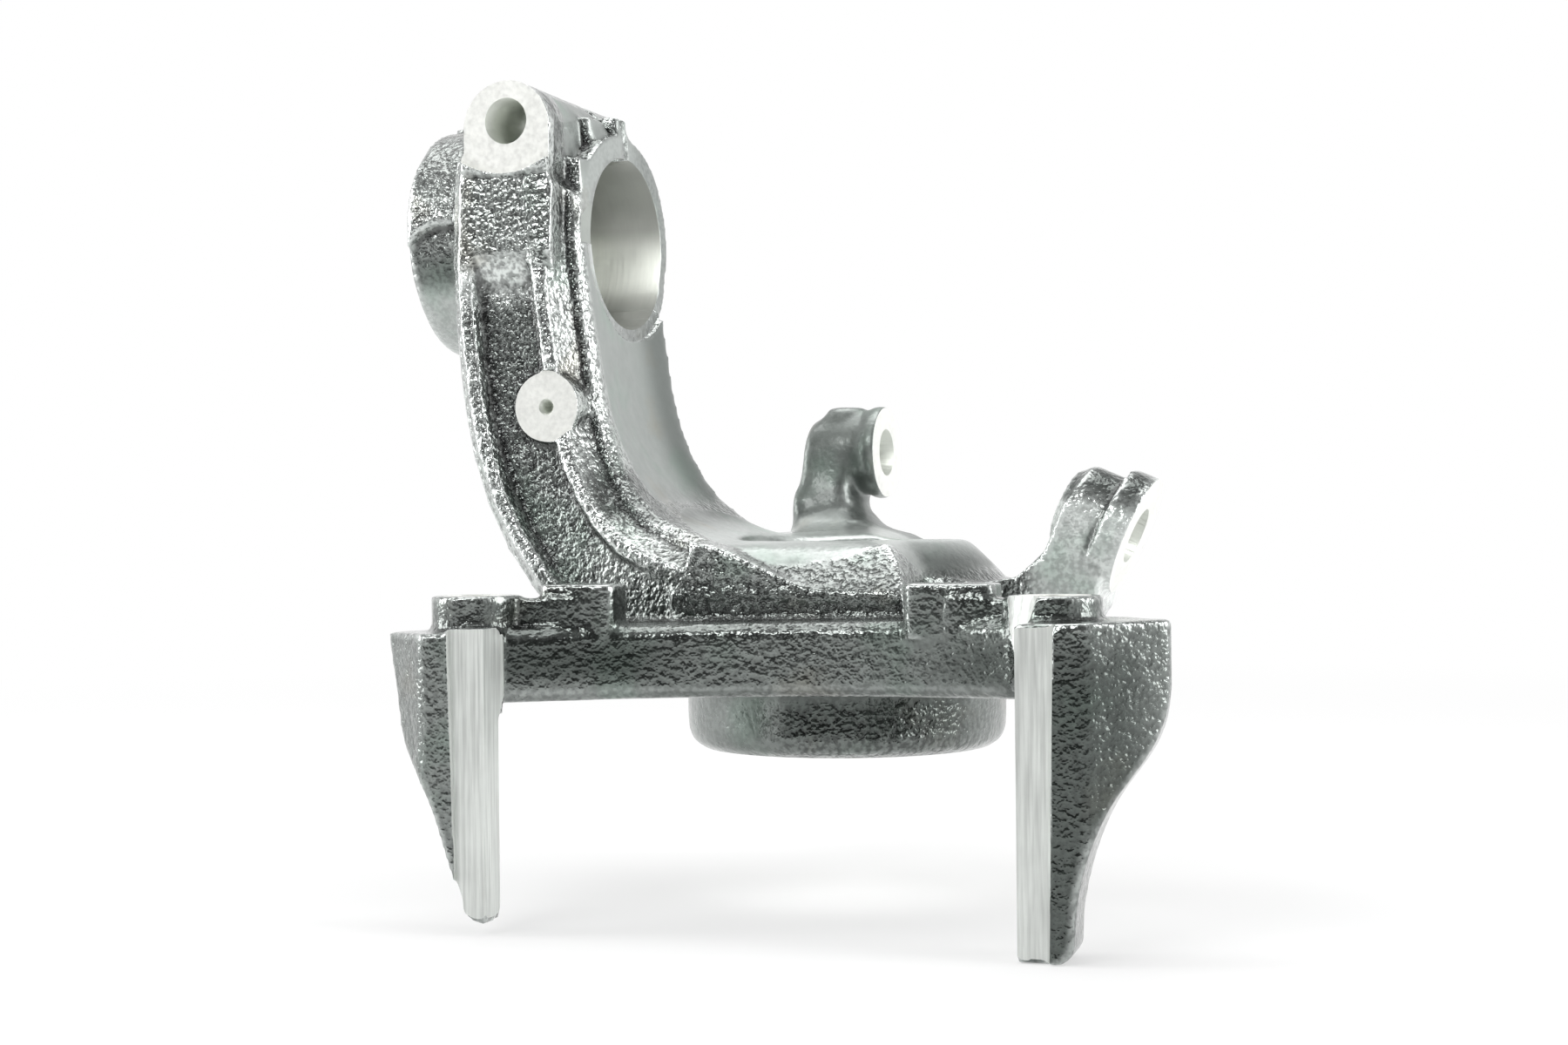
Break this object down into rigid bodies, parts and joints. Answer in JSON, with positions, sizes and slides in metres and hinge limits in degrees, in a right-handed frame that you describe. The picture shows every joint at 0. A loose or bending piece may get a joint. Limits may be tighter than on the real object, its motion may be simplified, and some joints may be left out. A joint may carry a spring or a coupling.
{
  "type": "steering knuckle",
  "caption": "Cast iron front steering knuckle with wheel bearing housing, strut clamp arm, integral brake carrier, steering arm and ball joint lug.",
  "frame": {"origin": "on the wheel axis, at the outboard rim of the hub housing", "axes": "+Z runs inboard along the wheel axis, +X runs down the car to the ball joint, -X up to the strut clamp, and -Y faces the brake caliper"},
  "size_m": [0.2509, 0.2104, 0.2485],
  "materials": {
    "casting": "dark glossy as-cast skin; bores, seats and pad abutments machined bright"
  },
  "bodies": {
    "root": {"knuckle": "casting"}
  },
  "joints": []
}
